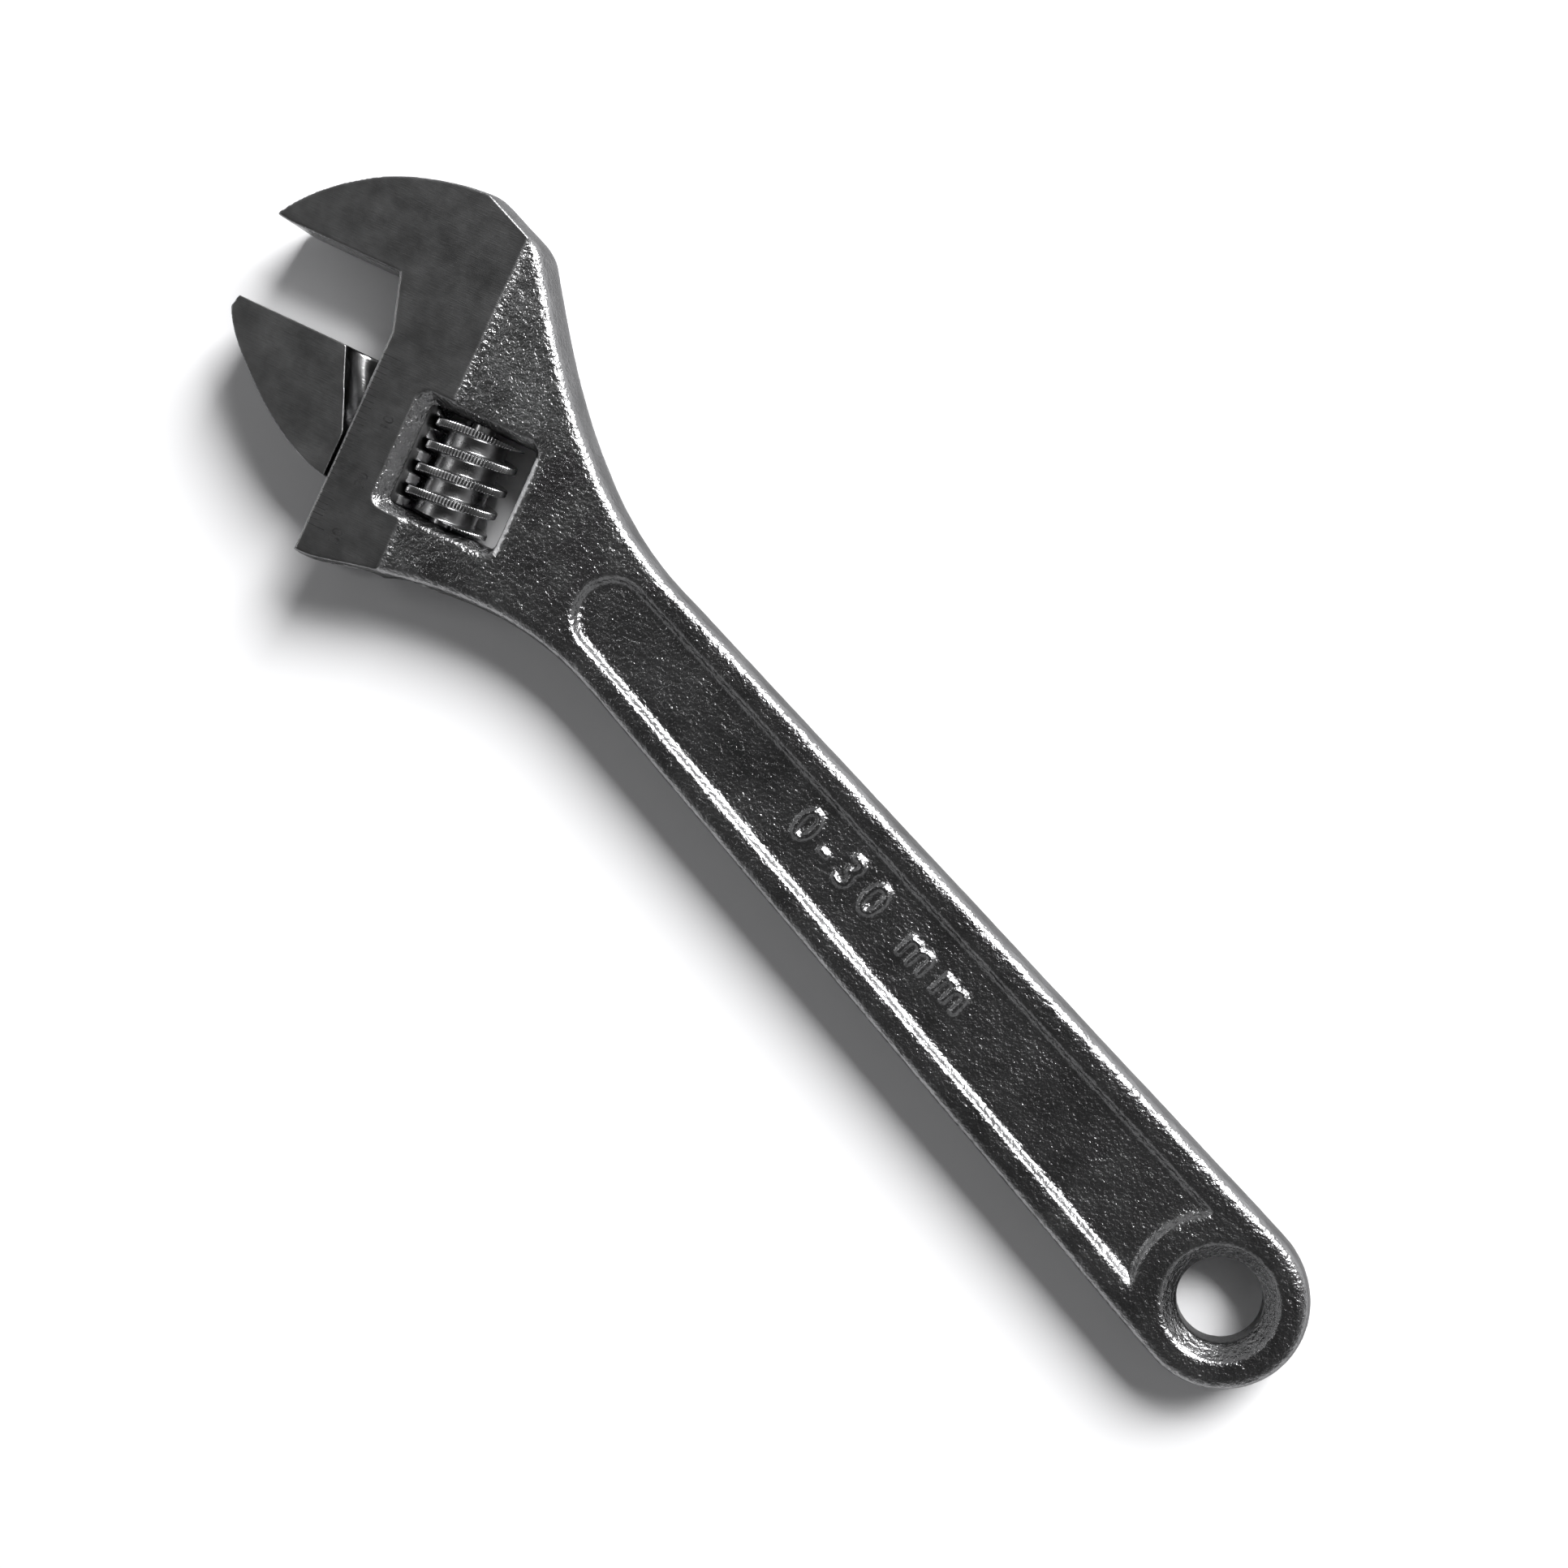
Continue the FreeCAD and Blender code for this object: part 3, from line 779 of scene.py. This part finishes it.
def paint_jaw(mesh):
    """Tooth with painted highlight, tooth gap with painted shade, ground, machined, forged or
    polished, per face.
    """
    centres, faces = face_frames(mesh)
    u, v, z = centres.T
    z = np.abs(z)
    on_flat = (z > JAW_HALF - LEVEL_MARGIN) & (np.abs(faces[:, 2]) > LEVEL)
    on_face = (faces[:, 1] < -JAW_FACING) & (v < JAW_FACE_V)
    in_web = (u < WEB_POLISH_U) & ~on_flat & (z < JAW_HALF - SIDE_MARGIN)
    # teeth get the painted highlight, the gap before them the painted shade
    choices = ((u < TOOTH_START_U, RACK_PAINTED_HIGHLIGHT), (u < RACK_EDGE_U, PAINTED_GROOVE_SHADE), (on_flat, GROUND),
               (on_face, MACHINED), (~in_web, FORGED))
    paint(mesh, JAW_LOOKS, choices, POLISHED)


def make_jaw():
    """Movable jaw with slightly broken edges."""
    mesh = voxel_mesh(cad_mesh("movable_jaw"), JAW_VOXEL)
    finish_mesh(mesh, jaw_shape(coordinates(mesh), edge_pairs(mesh)))
    paint_jaw(mesh)
    piece = link("jaw_forging", mesh, *JAW_LOOKS)
    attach(piece, "jaw")
    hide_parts("movable_jaw")


# ---------------------------------------------------------------- worm

WORM_LOOKS = (BRIGHT, TURNED, PAINTED_GROOVE_SHADE)
KNURLS = 82
KNURL_STEPS = 6
# knurl steps whose faces get the near-black painted shade of the valleys
SHADED_KNURL_STEPS = (0, KNURL_STEPS - 1)
KNURL_DEPTH = 0.28
LAND_HALF = 0.36
SHOULDER_DROP = 0.4
FOOT_RADIUS = 0.4
# how much of the knurl is lost down the shoulder
SHOULDER_FADE = 0.6
CORNER_STEPS = 4
RING_STEPS = 96
# the thread is swept between these turns and then cut flush; tolerances in millimetres
FIRST_TURN = -2
LAST_TURN = 6
CUT_DISTANCE = 1e-6
FLUSH_DISTANCE = 1e-5
SHARP_ANGLE = math.radians(50)


def thread_profile():
    """One pitch of the worm's surface as (axial, radius, knurl share) from crest to crest."""
    half = THREAD_WIDTH / 2
    foot = []
    shoulder = []
    for k in range(CORNER_STEPS + 1):
        turn = math.pi / 2 * k / CORNER_STEPS
        across, down = math.sin(turn), 1 - math.cos(turn)
        foot.append((half + FOOT_RADIUS * (1 - math.cos(turn)),
                     WORM_ROOT_R + FOOT_RADIUS * (1 - math.sin(turn)), 0.0))
        shoulder.append((LAND_HALF + (half - LAND_HALF) * across, WORM_R - SHOULDER_DROP * down,
                         1 - SHOULDER_FADE * down))
    crest = [(-a, r, share) for a, r, share in reversed(shoulder)] + shoulder
    middle = [(THREAD_PITCH / 2, WORM_ROOT_R, 0.0)]
    return crest + foot + middle + [(THREAD_PITCH - a, r, w) for a, r, w in reversed(foot)]


def worm_surface(work):
    """Threaded outside of the worm, longer than needed at both ends."""
    profile = thread_profile()
    steps = KNURLS * KNURL_STEPS
    rows = []
    for i in range((LAST_TURN - FIRST_TURN) * steps + 1):
        angle = 2 * math.pi * (i / steps + FIRST_TURN)
        knurl = 0.5 + 0.5 * math.cos(angle * KNURLS)
        climb = THREAD_PHASE_V + THREAD_PITCH * angle / (2 * math.pi)
        row = []
        for axial, radius, share in profile:
            r = radius - KNURL_DEPTH * knurl * share
            row.append(work.verts.new((r * math.cos(angle), climb + axial, -r * math.sin(angle))))
        rows.append(row)
    for i, (first, second) in enumerate(zip(rows, rows[1:])):
        # faces in the knurl valleys get the painted shade, the rest of the crest the bright steel
        knurled = PAINTED_GROOVE_SHADE if i % KNURL_STEPS in SHADED_KNURL_STEPS else BRIGHT
        for k in range(len(profile) - 1):
            face = work.faces.new((first[k], first[k + 1], second[k + 1], second[k]))
            on_crest = profile[k][2] > 0 and profile[k + 1][2] > 0
            face.material_index = WORM_LOOKS.index(knurled if on_crest else TURNED)
    for i in range(len(rows) - steps - 1):
        work.faces.new((rows[i][-1], rows[i + steps][0], rows[i + 1 + steps][0], rows[i + 1][-1]))


def ring_of(work, radius, v):
    """A circle of vertices about the worm's axis."""
    angles = [2 * math.pi * k / RING_STEPS for k in range(RING_STEPS)]
    return [work.verts.new((radius * math.cos(a), v, -radius * math.sin(a))) for a in angles]


def bridge(work, first, second):
    """Quads between two rings."""
    count = len(first)
    for k in range(count):
        after = (k + 1) % count
        work.faces.new((first[k], first[after], second[after], second[k]))


def cap_loops(work, v):
    """Fills the flat end at height v between the thread's outline and the hole."""
    loops = [edge for edge in work.edges if edge.is_boundary
             and all(abs(vertex.co.y - v) < FLUSH_DISTANCE for vertex in edge.verts)]
    bmesh.ops.triangle_fill(work, use_beauty=True, edges=loops)


def make_worm():
    """Knurled adjusting screw, cut flush at both ends, with its bore and spring pocket."""
    work = bmesh.new()
    worm_surface(work)
    for v, outward in ((WORM_V[0], -1), (WORM_V[1], 1)):
        everything = work.verts[:] + work.edges[:] + work.faces[:]
        bmesh.ops.bisect_plane(work, geom=everything, dist=CUT_DISTANCE, plane_co=(0, v, 0),
                               plane_no=(0, outward, 0), clear_outer=True)
    pocket_mouth = ring_of(work, SPRING_POCKET_R, WORM_V[0])
    pocket_floor = ring_of(work, SPRING_POCKET_R, SPRING_POCKET_V)
    bore_start = ring_of(work, WORM_BORE_R, SPRING_POCKET_V)
    bore_end = ring_of(work, WORM_BORE_R, WORM_V[1])
    bridge(work, pocket_mouth, pocket_floor)
    bridge(work, pocket_floor, bore_start)
    bridge(work, bore_start, bore_end)
    cap_loops(work, WORM_V[0])
    cap_loops(work, WORM_V[1])
    bmesh.ops.recalc_face_normals(work, faces=work.faces)
    place = HEAD @ Matrix.Translation(Vector((WORM_U * MM, 0, 0))) @ Matrix.Scale(MM, 4)
    bmesh.ops.transform(work, matrix=place, verts=work.verts)
    for face in work.faces:
        face.smooth = True
    mesh = bpy.data.meshes.new("worm_screw")
    work.to_mesh(mesh)
    work.free()
    mesh.set_sharp_from_angle(angle=SHARP_ANGLE)
    piece = link("worm_screw", mesh, *WORM_LOOKS)
    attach(piece, "worm")
    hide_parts("worm")


def dress_cad_nodes():
    """The pin and the spring keep their CAD shapes and get finished materials."""
    for node, material in (("worm_pin", PIN), ("worm_spring", WIRE)):
        mesh = frame["nodes"][node].data
        mesh.materials.clear()
        mesh.materials.append(material)


# ---------------------------------------------------------------- stage

VIEW_TARGET = Vector((105.77, -2.38, 0)) * MM
VIEW_PLACE = Vector((67.31, -47.31, 386.88)) * MM
VIEW_UP = Vector((0.7435, -0.6687, 0))
VIEW_LENS = 55.9
SENSOR = 36.0
NEAR_CLIP = 10 * MM
# floor: half its width and its middle in metres, its drop below the wrench, and a slight tilt
FLOOR_HALF = 8.0
FLOOR_X = 0.19
FLOOR_DROP = 0.0002
FLOOR_TILT = math.radians(0.5)
# lamps: name, direction from the wrench, distance and width in metres, power in watts
KEY_TOWARD = VIEW_UP.cross(Z_AXIS) * 0.75 + VIEW_UP * 0.75 + Z_AXIS * 0.9
FILL_TOWARD = U_AXIS * 1.0 + Z_AXIS * 0.85
LAMPS = (("key", KEY_TOWARD, 3.0, 1.5, 165.0),
         ("fill", FILL_TOWARD, 1.5, 0.25, 1.0))
# brightness of the surround by height, from level (0) to straight up (1)
SURROUND = ((0.0, 0.9), (0.1, 0.5), (0.3, 0.4), (0.7, 0.08), (1.0, 0.03))


def make_camera():
    """Looks down on the wrench from a little to the handle's right."""
    data = bpy.data.cameras.new("camera")
    data.lens = VIEW_LENS
    data.sensor_width = SENSOR
    data.clip_start = NEAR_CLIP
    camera = bpy.data.objects.new("camera", data)
    back = (VIEW_PLACE - VIEW_TARGET).normalized()
    right = VIEW_UP.cross(back).normalized()
    up = back.cross(right)
    turn = Matrix((right, up, back)).transposed().to_4x4()
    camera.matrix_world = Matrix.Translation(VIEW_PLACE) @ turn
    bpy.context.scene.collection.objects.link(camera)
    bpy.context.scene.camera = camera


def area_light(name, toward, distance, size, power):
    """Square lamp in the direction given, aimed at the middle of the wrench."""
    data = bpy.data.lights.new(name, "AREA")
    data.size = size
    data.energy = power
    lamp = bpy.data.objects.new(name, data)
    direction = toward.normalized()
    lamp.location = VIEW_TARGET + direction * distance
    lamp.rotation_mode = "QUATERNION"
    lamp.rotation_quaternion = direction.to_track_quat("Z", "Y")
    bpy.context.scene.collection.objects.link(lamp)


def make_floor():
    """Wide pale floor just under the wrench."""
    work = bmesh.new()
    bmesh.ops.create_grid(work, x_segments=2, y_segments=2, size=FLOOR_HALF)
    mesh = bpy.data.meshes.new("floor")
    work.to_mesh(mesh)
    work.free()
    floor = link("floor", mesh, floor_material())
    floor.rotation_euler = (0, FLOOR_TILT, 0)
    floor.location = (FLOOR_X, 0, cad_box[0].z - FLOOR_DROP)


def make_surround():
    """World that is pale near the horizon and dark overhead, so that the flats stay dark."""
    world = bpy.data.worlds.new("surround")
    world.use_nodes = True
    tree = world.node_tree
    direction = tree.nodes.new("ShaderNodeTexCoord")
    parts = tree.nodes.new("ShaderNodeSeparateXYZ")
    tree.links.new(direction.outputs["Generated"], parts.inputs["Vector"])
    shade = ramp(tree, parts.outputs["Z"], SURROUND)
    tree.links.new(shade, tree.nodes["Background"].inputs["Color"])
    bpy.context.scene.world = world


def make_stage():
    """Floor, lamps and surround, shown without a film-like tone curve."""
    make_floor()
    for lamp in LAMPS:
        area_light(*lamp)
    make_surround()
    bpy.context.scene.view_settings.view_transform = "Standard"


make_body()
make_scale()
make_jaw()
make_worm()
dress_cad_nodes()
make_camera()
make_stage()
